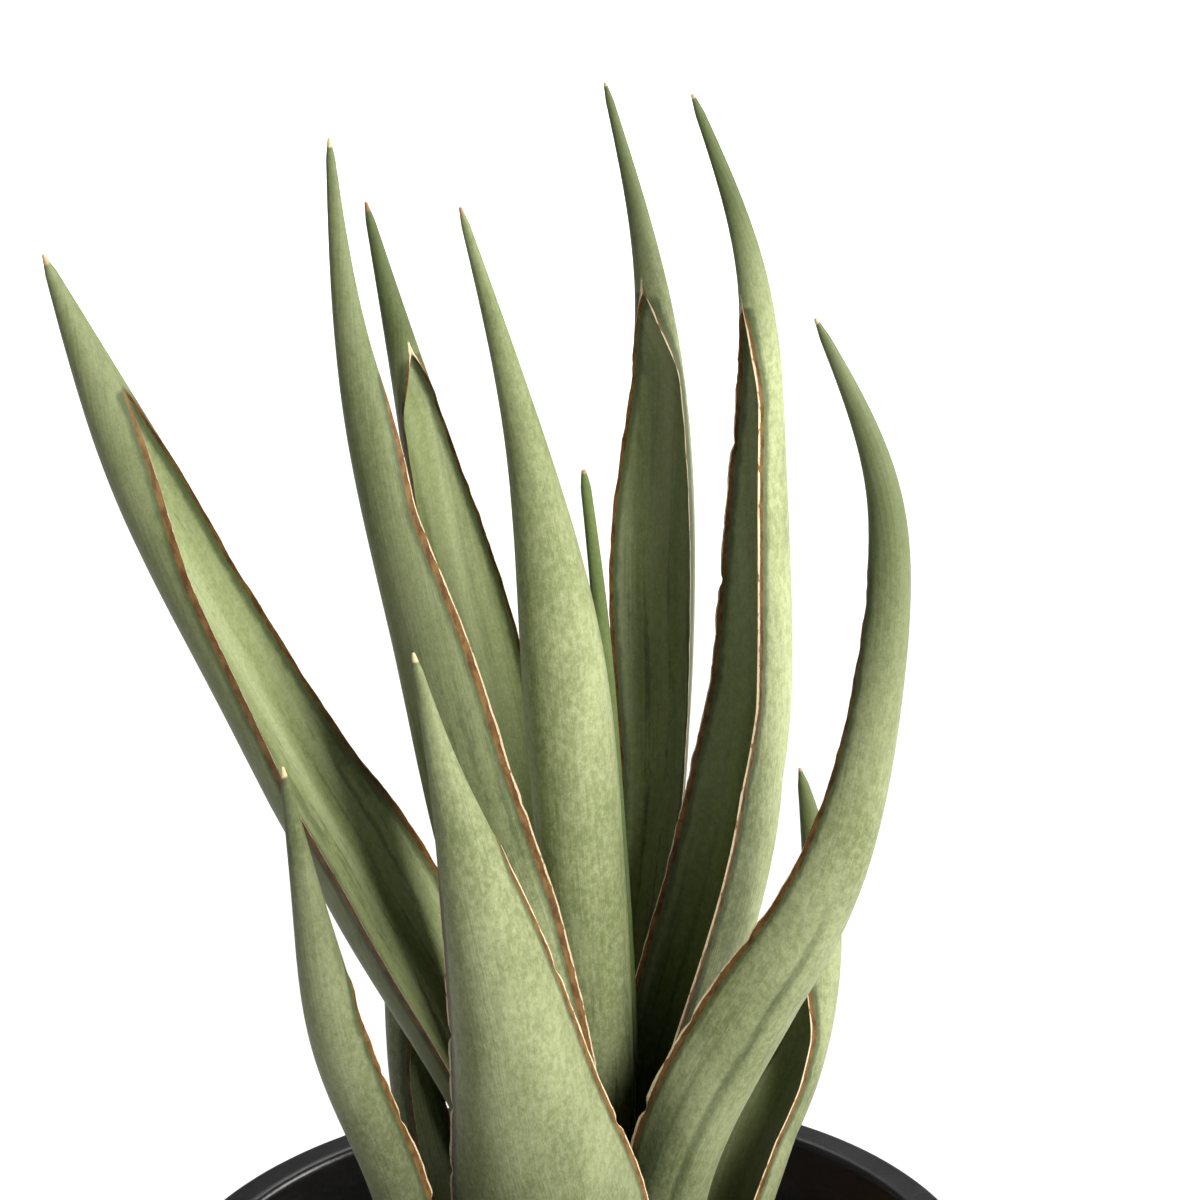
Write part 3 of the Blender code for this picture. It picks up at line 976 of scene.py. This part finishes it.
def leaves() -> list[Leaf]:
    """The twelve leaves, front to back.

    Returns:
        The leaves with their sizes and marks.
    """
    # tone and base also paint shadow: lower tone darkens the front-left, front and tall-left leaves where
    # other leaves shade them, and a base above 1 deepens the painted crown shade on leaf feet that others
    # shade.
    return [
        Leaf(
            "leaf_front", tip=284, x=(5, 1, -1, -3, -6, -9, -13, -18, -22.5), y=(-20, -33, -40, -42),
            half=(5.5, 10, 15.5, 17.5, 14, 10.5, 7, 3, 0.6), face=(-90, -92), channel=(0.86, 0.1),
            lean=(0.8, 0.45), wide=0.95, deep=(0.8, 0.75, 0.9, 1), splay=28,
            plus=Margin(rust=(1, 1, 1, 1, 0.8, 0.5), cream=(0.35, 0.4, 0.5, 0.6, 0.5, 0.2),
                        ragged=0.16, tears=((0.47, 0.5), (0.66, 0.4))),
            minus=Margin(rust=(0.8, 0.8, 0.8, 0.7, 0.5, 0.3), cream=(0.9, 0.9, 1, 0.9, 0.5, 0.2),
                         ragged=0.2, tears=((0.605, 0.8), (0.52, 0.8), (0.44, 0.5))),
            point=Tip(2, 0), stain=(0.3, 0, 0, 0), tone_and_shade=0.86, green=(0.8, 1, 0.35), base=1.1, seed=1),
        Leaf(
            "leaf_front_left", tip=266, x=(-15, -22, -27, -31, -38, -42, -45), y=(-16, -32, -42, -46),
            half=(5, 7, 6.5, 6, 5.5, 3, 0.6), face=(-120, -115), channel=(0.82, 0.12), lean=(0.78, 0.4),
            wide=0.9, deep=(0.9, 0.9, 1), splay=15,
            plus=Margin(rust=(1, 1, 1, 0.9, 0.3, 0), cream=(0.6, 0.6, 0.5, 0.4, 0, 0),
                        ragged=0.3, tears=((0.46, 0.7), (0.57, 0.5), (0.63, 0.4))),
            minus=Margin(rust=(0.4, 0.4, 0.3, 0.1, 0), cream=(0.2, 0.2, 0.1, 0, 0)),
            point=Tip(2.2, 0.1), stain=(0.3, 0.1, 0, 0), tone_and_shade=0.66, green=(0.6, 1, 0.45), base=1.35,
            seed=2),
        Leaf(
            "leaf_front_right", tip=336, x=(21, 20, 19, 27.5, 42, 52, 57, 57, 46), y=(-11, -21, -31, -30),
            half=(5.5, 7, 9.5, 9, 5.5, 3.5, 0.6), face=(-80, -65, -50, -45), channel=(0.875, 0.1),
            lean=(0.76, 0.3), wide=0.8, deep=(0.8, 0.9, 0.95, 1), splay=14,
            plus=Margin(rust=(1, 1, 0.6, 0.3, 0.1, 0), cream=(0.4, 0.3, 0.1, 0, 0, 0)),
            minus=Margin(rust=(0.7, 0.8, 0.9, 0.8, 0.6, 0.3), cream=(0.8, 0.9, 0.7, 0.1, 0, 0),
                         ragged=0.24, tears=((0.345, 0.7), (0.42, 0.4), (0.5, 0.4))),
            point=Tip(1.1, 0.35),
            # The wide, shallow second crease is painted shade on the flank that turns away from the light.
            creases=(Crease(0.16, 0.58, 2.5, 2.2, 0.45, 0.7), Crease(0.02, 0.4, 11, 8.5, 0.1, 3.2)),
            stain=(1, 1, 0.35, 0, 0, 0, 0), tone_and_shade=0.93, green=(0.6, 0.86, 0.72), base=1.15, seed=3),
        Leaf(
            "leaf_tall_left", tip=366, x=(2, 0.5, -5, -13, -19.5, -30, -33.5), y=(-10, -17, -18, -16),
            half=(5.5, 8, 10.5, 11.5, 9, 3.8, 0.6), face=(-105, -120, -140, -165, -170),
            channel=(0.845, 0.1), lean=(0.82, 0.35), wide=0.85, deep=(0.9, 0.95, 1, 1), splay=10,
            plus=Margin(rust=(1, 1, 1, 1, 0.9, 0.6), cream=(0.3, 0.35, 0.5, 0.6, 0.2, 0),
                        ragged=0.14, tears=((0.33, 0.4), (0.55, 0.3))),
            minus=Margin(rust=(0.5, 0.5, 0.4, 0.3, 0), cream=(0.3, 0.3, 0.2, 0.1, 0)),
            point=Tip(1.8, 0.1), stain=(0.8, 0.7, 0.6, 0.1, 0), tone_and_shade=0.9, green=(0.4, 0.6, 0.55), seed=4),
        Leaf(
            "leaf_centre", tip=351, x=(8, 6, 6.5, 5, 2.5, -3, -12.5), y=(-2, -2, -2, -3),
            half=(5, 6.5, 7.5, 8, 7.5, 3.5, 0.6), face=(-85, -80), channel=(0.8, 0.2), lean=(0.72, 0.35),
            wide=0.7, deep=(0.9, 0.95, 1, 1), splay=0,
            plus=Margin(rust=(0.3, 0.3, 0.2, 0.1, 0), cream=(0, 0, 0, 0, 0)),
            minus=Margin(rust=(0.3, 0.3, 0.2, 0.1, 0), cream=(0.3, 0.3, 0.3, 0.5, 0.1, 0)),
            point=Tip(1.6, 0.75), stain=(1, 0.9, 0.35, 0, 0, 0), tone_and_shade=1.1, green=(0.66, 0.92, 0.52),
            base=1.5, seed=5),
        Leaf(
            "leaf_far_left", tip=347, x=(-14, -7.5, -16, -34.5, -52, -69, -83), y=(-2, -3, -8, -12),
            half=(5, 9, 12, 13.5, 9.5, 6.5, 0.6), face=(152, 158, 162), channel=(0.9, 0.15),
            lean=(0.88, 0.35), wide=0.7, deep=(0.9, 0.9, 0.9), splay=8,
            plus=Margin(rust=(1, 1, 1, 1, 0.9, 0.4), cream=(0.8, 0.9, 0.5, 0.2, 0.1, 0), ragged=0.16),
            minus=Margin(rust=(0.6, 0.7, 0.8, 0.7, 0.4, 0), cream=(0.1, 0.1, 0.2, 0.1, 0)),
            point=Tip(2, 0.5), stain=(0.6, 0.5, 0.4, 0.3, 0.1), tone_and_shade=1, green=(-1, -0.5, 0.55), seed=6),
        Leaf(
            "leaf_back_left", tip=347, x=(2, -2, -5, -8, -14, -22, -30), y=(9, 16, 22, 24),
            half=(5, 8.5, 10, 8.5, 8, 4.2, 0.6), face=(115, 122, 125), channel=(0.885, 0.055),
            lean=(0.815, 0.3), wide=0.95, deep=(0.9, 0.95, 1, 1), splay=6,
            plus=Margin(rust=(0.5, 0.5, 0.5, 0.3, 0), cream=(0.2, 0.2, 0.2, 0.1, 0)),
            minus=Margin(rust=(0.7, 0.7, 0.7, 0.6, 0.5, 0), cream=(0.15, 0.15, 0.2, 0.2, 0.2, 0)),
            point=Tip(2, 0.9), stain=(0.3, 0.2, 0, 0), tone_and_shade=1.12, green=(0.8, 0.9, 0.95), fleck=0.7,
            seed=7),
        Leaf(
            "leaf_young", tip=300, x=(8.5, 9, 10.5, 11, 10.7, 10, 7.5), y=(3, 5.5, 8, 9),
            half=(3, 3.5, 4, 3.5, 2.5, 1.6, 0.9), face=(70, 70), channel=(0.66, 0.2), lean=(0.62, 0.3),
            wide=0.8, deep=(0.9, 1, 1), splay=0,
            plus=Margin(rust=(0, 0), cream=(0, 0), ragged=0.08),
            minus=Margin(rust=(0, 0), cream=(0, 0), ragged=0.08),
            point=Tip(0.8, 0.6), stain=(0.3, 0, 0), tone_and_shade=0.9, young=0.8, seed=8),
        Leaf(
            "leaf_back_tall", tip=367, x=(15, 14, 15, 20.5, 20.5, 21.5, 13.5), y=(16, 23, 25, 25),
            half=(5, 8, 6.5, 7, 8.5, 3.7, 0.6), face=(60, 56), channel=(0.857, 0.065), lean=(0.835, 0.3),
            wide=0.95, deep=(0.9, 1, 1), splay=8,
            plus=Margin(rust=(0.7, 0.7, 0.7, 0.6, 0.6, 0), cream=(0.1, 0.1, 0.1, 0.1, 0.1, 0)),
            minus=Margin(rust=(0.4, 0.4, 0.4, 0.3, 0.2, 0), cream=(0.4, 0.4, 0.5, 0.6, 0.8, 0)),
            point=Tip(0.9, 0.4), stain=(0.8, 0.6, 0.5, 0.1, 0), tone_and_shade=0.86, green=(0.82, 0.92, 0.75),
            fleck=0.9, seed=9),
        Leaf(
            "leaf_tall_right", tip=368, x=(20, 16, 17.5, 26.5, 35, 37.5, 38.5, 38, 28), y=(0, 2, 4, 4),
            half=(5, 9.5, 11.5, 10.5, 6.5, 3, 0.6), face=(12, 16, 28, 38), channel=(0.86, 0.07),
            lean=(0.825, 0.3), wide=0.75, deep=(0.9, 1.2, 1.3, 1.2), splay=8,
            plus=Margin(rust=(0.7, 0.7, 0.7, 0.8, 0.6, 0), cream=(0.3, 0.3, 0.3, 0.5, 0.4, 0),
                        ragged=0.3, tears=((0.66, 0.6), (0.76, 0.5))),
            minus=Margin(rust=(0.8, 0.8, 0.7, 0.7, 0.6, 0.3), cream=(0.7, 0.8, 0.9, 0.9, 0.8, 0.3),
                         ragged=0.18, tears=((0.72, 0.6), (0.45, 0.4))),
            point=Tip(0.9, 0.5), stain=(0.5, 0.2, 0, 0), tone_and_shade=1.05, green=(0.82, 0.93, 0.95), base=1.15,
            fleck=0.6, seed=10),
        Leaf(
            "leaf_rear_right", tip=236, x=(26, 30, 35, 43.5, 50, 50.5, 47), y=(9, 16, 20, 22),
            half=(4.5, 8, 10, 8, 4.6, 3.2, 0.6), face=(25, 20), channel=(0.73, 0.14), lean=(0.8, 0.35),
            wide=0.7, deep=(0.9, 1, 1), splay=10,
            plus=Margin(rust=(0.5, 0.5, 0.4, 0.2, 0), cream=(0.2, 0.2, 0.1, 0, 0)),
            minus=Margin(rust=(0.9, 0.9, 0.9, 0.7, 0.4, 0), cream=(0.6, 0.7, 0.8, 0.6, 0.1, 0),
                         ragged=0.18),
            point=Tip(0.8, 0.6), stain=(0.3, 0.1, 0, 0), tone_and_shade=1, green=(0.7, 0.9, 0.8), seed=11),
        Leaf(
            "leaf_rear_left", tip=222, x=(-18, -25, -30, -33), y=(8, 16, 20, 22),
            half=(4, 6.5, 6.5, 3, 0.6), face=(150, 155), channel=(0.8, 0.2), lean=(0.78, 0.35), wide=0.8,
            deep=(0.9, 1, 1), splay=0,
            plus=Margin(rust=(0.6, 0.6, 0.5, 0.2, 0), cream=(0.3, 0.3, 0.2, 0, 0)),
            minus=Margin(rust=(0.5, 0.5, 0.4, 0.2, 0), cream=(0.1, 0.1, 0, 0, 0)),
            point=Tip(1.2, 0.6), stain=(0.4, 0.3, 0.1, 0), tone_and_shade=0.95, green=(0.5, 1, 0.5), seed=12),
    ]


# --------------------------------------------------------------------------------------------------
# Pot
# --------------------------------------------------------------------------------------------------


@dataclass
class NurseryPot:
    """Tapered pot with a turned-over rim and drainage holes, sizes in metres.

    rim and base are radii. foot_ring is the flat edge that the pot stands on, and ease and lip_ease
    soften the corners inside the base and on the rim.
    """

    height: float = 140 * MM
    rim: float = 80 * MM
    base: float = 54 * MM
    wall: float = 1.5 * MM
    rim_width: float = 6 * MM
    skirt: float = 11 * MM
    rounding: float = 1.2 * MM
    base_round: float = 3 * MM
    holes: int = 8
    hole_radius: float = 4.5 * MM
    hole_ring: float = 38 * MM
    foot_ring: float = 1 * MM
    ease: float = 0.4 * MM
    lip_ease: float = 0.6 * MM
    segments: int = 192
    hole_segments: int = 40
    corner: int = 5

    def bend(self, centre: tuple[float, float], radius: float, start: float,
             end: float) -> list[tuple[float, float]]:
        """Points of a rounded corner.

        Args:
            centre: Radius and height of the corner's centre.
            radius: The corner's radius.
            start: Angle of the first point, in degrees.
            end: Angle of the last point, in degrees.

        Returns:
            Radius and height of each point.
        """
        turns = [math.radians(start + (end - start) * k / self.corner) for k in range(self.corner + 1)]
        return [(centre[0] + radius * math.cos(t), centre[1] + radius * math.sin(t)) for t in turns]

    def profile(self) -> list[tuple[float, float]]:
        """The wall from the underside's edge, up outside, over the rim and down inside."""
        shoulder = self.rim - self.rim_width
        under = self.height - self.wall
        inner = self.rim - self.wall
        r = self.rounding
        floor_edge = self.base - self.base_round
        points = [(floor_edge - self.foot_ring, 0.0)]
        points += self.bend((floor_edge, self.base_round), self.base_round, -90, 0)
        points += [(shoulder, under - r)]
        points += [(shoulder + r * 0.4, under - r * 0.3), (shoulder + r, under)]
        points += [(inner - r * 0.6, under), (inner, under - r * 0.6)]
        half_wall = self.wall / 2
        points += self.bend((inner + half_wall, self.height - self.skirt + half_wall), half_wall, 180, 360)
        points += self.bend((self.rim - r, self.height - r), r, 0, 90)
        points += [(shoulder + self.lip_ease, self.height)]
        points += self.bend((shoulder, self.height - self.wall), self.wall, 90, 180)[1:]
        points += [(self.base - self.wall, self.base_round)]
        points += [(self.base - self.wall - self.ease, self.base_round * 0.75), (floor_edge, self.wall)]
        return points

    def build(self) -> bmesh.types.BMesh:
        """Spin the wall, then fill both faces of the base around its drainage holes.

        Returns:
            The closed mesh.
        """
        bm = bmesh.new()
        turned(bm, self.profile(), self.segments)
        rings = {0.0: [], self.wall: []}
        for edge in [edge for edge in bm.edges if edge.is_boundary]:
            level = min(rings, key=lambda z: abs(z - edge.verts[0].co.z))
            rings[level].append(edge)
        for k in range(self.holes):
            turn = math.tau * k / self.holes
            at = Vector((self.hole_ring * math.cos(turn), self.hole_ring * math.sin(turn), 0))
            loops = []
            for level in rings:
                made = bmesh.ops.create_circle(bm, cap_ends=False, radius=self.hole_radius,
                                               segments=self.hole_segments,
                                               matrix=Matrix.Translation(at + Vector((0, 0, level))))
                ring = list({edge for vert in made["verts"] for edge in vert.link_edges})
                rings[level] += ring
                loops += ring
            bmesh.ops.bridge_loops(bm, edges=loops)
        for ring in rings.values():
            bmesh.ops.triangle_fill(bm, use_beauty=True, use_dissolve=False, edges=ring)
        bmesh.ops.recalc_face_normals(bm, faces=bm.faces)
        return bm

    def dress(self, made_of: bpy.types.Material) -> bpy.types.Object:
        """Make the pot and put it in the place of its solid.

        Args:
            made_of: The pot's material.

        Returns:
            The finished pot.
        """
        pot = make_object(self.build(), "pot_shell", made_of, 35)
        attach(pot, ROOT)
        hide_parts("pot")
        report(pot)
        return pot


# --------------------------------------------------------------------------------------------------
# Potting mix
# --------------------------------------------------------------------------------------------------


@dataclass
class PottingMix:
    """Peat that fills the pot, with bark chips on top, sizes in metres.

    lump and grit are the height and the length of the unevenness of the top. Both sizes of chips and
    crumbs are the smallest and the largest length.
    """

    pot: NurseryPot
    top: float = 126 * MM
    heap: float = 3 * MM
    gap: float = 0.45 * MM
    lump: tuple[float, float] = (1.1 * MM, 11 * MM)
    grit: tuple[float, float] = (0.6 * MM, 3.2 * MM)
    rings: int = 56
    segments: int = 160
    chips: int = 900
    chip_sizes: tuple[float, float] = (3.0 * MM, 9.0 * MM)
    crumbs: int = 1500
    crumb_sizes: tuple[float, float] = (1.2 * MM, 3.4 * MM)

    CHIP = "chip"
    CHIP_WIDTH = (0.4, 0.85)
    CHIP_THICKNESS = (0.22, 0.5)
    CHIP_WEAR = (0.75, 1.15)
    CHIP_TILT = 0.5
    PROUD = 0.08

    def reach(self, z: float) -> float:
        """Radius of the mix against the pot wall at a height."""
        rise = self.pot.height - self.pot.wall - self.pot.rounding - self.pot.base_round
        slope = (self.pot.rim - self.pot.rim_width - self.pot.base) / rise
        return self.pot.base - self.pot.wall - self.gap + slope * (z - self.pot.base_round)

    def level(self, x: float, y: float) -> float:
        """Height of the uneven top at a place.

        Args:
            x: Place across.
            y: Place back.

        Returns:
            The height, in metres.
        """
        share = min(math.hypot(x, y) / self.reach(self.top), 1.0)
        heap = self.heap * (1 + math.cos(math.pi * share)) / 2
        coarse = self.lump[0] * noise.noise(Vector((x, y, 0.3)) / self.lump[1])
        fine = self.grit[0] * noise.noise(Vector((x, y, 1.7)) / self.grit[1])
        return self.top + heap + coarse + fine

    def build(self) -> bmesh.types.BMesh:
        """Spin the body of the mix and roughen its top.

        Returns:
            The closed mesh.
        """
        bottom = self.pot.wall + self.gap
        edge = self.reach(self.top)
        low = self.pot.base_round
        profile = [(0, bottom), (self.reach(bottom) - low, bottom), (self.reach(2 * low), 2 * low)]
        profile += [(edge * (1 - k / self.rings), self.top) for k in range(self.rings + 1)]
        bm = bmesh.new()
        turned(bm, profile, self.segments)
        for vert in bm.verts:
            if abs(vert.co.z - self.top) < 0.1 * MM:
                vert.co.z = self.level(vert.co.x, vert.co.y)
        bmesh.ops.recalc_face_normals(bm, faces=bm.faces)
        return bm

    def free(self, x: float, y: float, size: float, outlines: Sequence[np.ndarray]) -> bool:
        """Whether a chip fits inside the pot and outside every leaf.

        Args:
            x: Place across.
            y: Place back.
            size: Longest half length of the chip.
            outlines: Plans of the leaves at the top of the mix.

        Returns:
            True where nothing is in the way.
        """
        if math.hypot(x, y) + size > self.reach(self.top) - 0.3 * MM:
            return False
        here = np.array((x, y))
        for outline in outlines:
            if np.linalg.norm(outline - here, axis=1).min() < size * 0.55:
                return False
            if abs(x - outline[:, 0].mean()) < 30 * MM and self.within(here, outline):
                return False
        return True

    @staticmethod
    def within(here: np.ndarray, outline: np.ndarray) -> bool:
        """Whether a point lies inside a closed outline.

        Args:
            here: The point.
            outline: The outline's points in order.

        Returns:
            True inside.
        """
        ahead = np.roll(outline, -1, axis=0)
        crosses = (outline[:, 1] > here[1]) != (ahead[:, 1] > here[1])
        rise = np.where(crosses, ahead[:, 1] - outline[:, 1], 1.0)
        at = (ahead[:, 0] - outline[:, 0]) * (here[1] - outline[:, 1]) / rise + outline[:, 0]
        return bool((crosses & (here[0] < at)).sum() % 2)

    def scatter(self, count: int, seed: int, sizes: tuple[float, float], chip: Callable[..., list],
                outlines: Sequence[np.ndarray]) -> bmesh.types.BMesh:
        """Lay many small pieces over the top of the mix.

        Args:
            count: How many to try.
            seed: Start of the random numbers.
            sizes: Smallest and largest length, in metres.
            chip: Adds one piece of unit size to a mesh and returns its vertices.
            outlines: Plans of the leaves at the top of the mix.

        Returns:
            The mesh of all pieces.
        """
        dice = random.Random(seed)
        bm = bmesh.new()
        layer = bm.verts.layers.float_vector.new(self.CHIP)
        for _ in range(count):
            turn = dice.uniform(0, math.tau)
            radius = self.reach(self.top) * math.sqrt(dice.random())
            x, y = radius * math.cos(turn), radius * math.sin(turn)
            size = sizes[0] + (sizes[1] - sizes[0]) * dice.random() ** 2
            shade_of = dice.random()
            spin = Matrix.Rotation(dice.uniform(0, math.tau), 4, "Z")
            tilt = Matrix.Rotation(dice.uniform(-self.CHIP_TILT, self.CHIP_TILT), 4, "X")
            tilt = tilt @ Matrix.Rotation(dice.uniform(-self.CHIP_TILT, self.CHIP_TILT), 4, "Y")
            shape = Matrix.Diagonal((size, size * dice.uniform(*self.CHIP_WIDTH),
                                     size * dice.uniform(*self.CHIP_THICKNESS), 1))
            wobble = [dice.uniform(*self.CHIP_WEAR) for _ in range(8)]
            if not self.free(x, y, size / 2, outlines):
                continue
            at = Matrix.Translation((x, y, self.level(x, y) + size * self.PROUD))
            for k, vert in enumerate(chip(bm)):
                vert.co = (at @ spin @ tilt @ shape) @ (vert.co * wobble[k % 8])
                vert[layer] = Vector((shade_of, 0, 0))
        bmesh.ops.recalc_face_normals(bm, faces=bm.faces)
        return bm

    @staticmethod
    def bark_chip(bm: bmesh.types.BMesh) -> list[bmesh.types.BMVert]:
        """Add one block with worn edges, a unit long."""
        cube = bmesh.ops.create_cube(bm, size=1.0)["verts"]
        edges = list({edge for vert in cube for edge in vert.link_edges})
        worn = bmesh.ops.bevel(bm, geom=edges, offset=0.16, offset_type="OFFSET", affect="EDGES", segments=1,
                               profile=0.5, material=-1)
        return worn["verts"]

    @staticmethod
    def peat_crumb(bm: bmesh.types.BMesh) -> list[bmesh.types.BMVert]:
        """Add one rounded crumb, a unit long."""
        return bmesh.ops.create_icosphere(bm, subdivisions=1, radius=0.5)["verts"]

    def dress(self, peat: bpy.types.Material, bark: bpy.types.Material,
              plants: Sequence[Leaf]) -> list[bpy.types.Object]:
        """Make the mix, its chips and its crumbs.

        Args:
            peat: Material of the body and crumbs.
            bark: Material of the chips.
            plants: The leaves that grow through the mix.

        Returns:
            The finished pieces.
        """
        body = make_object(self.build(), "potting_mix_body", peat, 80)
        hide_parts("potting_mix")
        outlines = [leaf.outline_at(self.top + self.heap) for leaf in plants]
        chips = self.scatter(self.chips, 11, self.chip_sizes, self.bark_chip, outlines)
        crumbs = self.scatter(self.crumbs, 12, self.crumb_sizes, self.peat_crumb, outlines)
        made = [body, make_object(chips, "potting_mix_chips", bark, 50),
                make_object(crumbs, "potting_mix_crumbs", bark, 50)]
        for thing in made:
            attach(thing, ROOT)
            report(thing)
        return made


# --------------------------------------------------------------------------------------------------
# Studio
# --------------------------------------------------------------------------------------------------


@dataclass
class SoftLight:
    """A square soft light that looks at the plant."""

    name: str
    place: tuple[float, float, float]
    size: float
    power: float
    tint: tuple[float, float, float] = (1.0, 1.0, 1.0)
    aim: tuple[float, float, float] = (0.0, 0.0, 0.22)
    spread: float = 180.0

    def build(self) -> bpy.types.Object:
        """Put the light in the scene."""
        lamp = bpy.data.lights.new(self.name, "AREA")
        lamp.size = self.size
        lamp.energy = self.power
        lamp.color = self.tint
        lamp.spread = math.radians(self.spread)
        thing = bpy.data.objects.new(self.name, lamp)
        thing.location = self.place
        toward = Vector(self.aim) - Vector(self.place)
        thing.rotation_euler = toward.to_track_quat("-Z", "Y").to_euler()
        bpy.context.scene.collection.objects.link(thing)
        return thing


@dataclass
class Studio:
    """Pale floor with a cove, soft lights and the camera."""

    floor_radius: float = 6.5
    cove_radius: float = 1.5
    cove_height: float = 3.5
    cove_steps: int = 10
    floor_colour: Colour = (0.76, 0.76, 0.76, 1)
    warm: tuple[float, float, float] = (1.0, 0.99, 0.955)
    sky: float = 0.035
    camera_place: tuple[float, float, float] = (0.0, -0.5629, 0.465)
    pitch: float = 18.36
    yaw: float = 0.98
    roll: float = -1.63
    lens: float = 99.21
    sensor: float = 36.0

    def floor(self) -> bpy.types.Object:
        """Turn the floor and its cove, and give it matt pale paint.

        Returns:
            The floor.
        """
        profile = [(0.0, 0.0), (self.floor_radius, 0.0)]
        for k in range(1, self.cove_steps + 1):
            turn = math.pi / 2 * k / self.cove_steps
            profile.append((self.floor_radius + self.cove_radius * math.sin(turn),
                            self.cove_radius * (1 - math.cos(turn))))
        profile.append((self.floor_radius + self.cove_radius, self.cove_height))
        bm = bmesh.new()
        turned(bm, profile, 96)
        s = Shading("floor_paint")
        tooth = s.grain(s.place(), (4, 4, 4), 3.0)
        s.surface(s.shade(self.floor_colour, s.plus(0.985, s.times(tooth, 0.03))), 0.85, 0.2)
        floor = make_object(bm, "floor", s.material, 60)
        return floor

    def lights(self) -> None:
        """Set the soft lights and the even light of the sky."""
        for light in (
            SoftLight("key", (1.16, -1.38, 1.83), 0.6, 98.0, self.warm),
            SoftLight("side", (1.95, 0.15, 1.05), 0.9, 40.0, self.warm),
            SoftLight("backdrop", (0.5, 3.3, 2.6), 3.0, 205.0, spread=115.0, aim=(0.2, 3.7, 0.0)),
        ):
            light.build()
        world = bpy.data.worlds.new("sky")
        world.use_nodes = True
        world.node_tree.nodes["Background"].inputs["Color"].default_value = (1, 1, 1, 1)
        world.node_tree.nodes["Background"].inputs["Strength"].default_value = self.sky
        bpy.context.scene.world = world

    def camera(self) -> bpy.types.Object:
        """Set the camera.

        Returns:
            The camera.
        """
        yaw, pitch, roll = (math.radians(angle) for angle in (self.yaw, self.pitch, self.roll))
        ahead = Vector((math.sin(yaw) * math.cos(pitch), math.cos(yaw) * math.cos(pitch), -math.sin(pitch)))
        right = Vector((math.cos(yaw), -math.sin(yaw), 0))
        upward = right.cross(ahead)
        side = math.cos(roll) * right + math.sin(roll) * upward
        head = -math.sin(roll) * right + math.cos(roll) * upward
        lens = bpy.data.cameras.new("camera")
        lens.lens = self.lens
        lens.sensor_width = self.sensor
        lens.clip_start = 0.01
        camera = bpy.data.objects.new("camera", lens)
        turn = Matrix((side, head, -ahead)).transposed().to_4x4()
        camera.matrix_world = Matrix.Translation(self.camera_place) @ turn
        bpy.context.scene.collection.objects.link(camera)
        bpy.context.scene.camera = camera
        return camera

    def build(self) -> None:
        """Set the whole studio."""
        self.floor()
        self.lights()
        self.camera()
        bpy.context.scene.view_settings.view_transform = "Standard"


def main() -> None:
    """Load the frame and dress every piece."""
    logging.basicConfig(level=logging.INFO, format="%(name)s: %(message)s")
    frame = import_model()

    skin = leaf_material(LeafFinish())
    plants = leaves()
    for leaf in plants:
        leaf.dress(skin)

    pot = NurseryPot()
    pot.dress(pot_material(PotFinish()))
    finish = MixFinish()
    PottingMix(pot).dress(peat_material(finish), bark_material(finish), plants)

    rhizome = frame["nodes"]["rhizome"]
    rhizome.data.materials.clear()
    rhizome.data.materials.append(rhizome_material(RhizomeFinish()))
    report(rhizome)

    Studio().build()


if __name__ == "__main__":
    main()
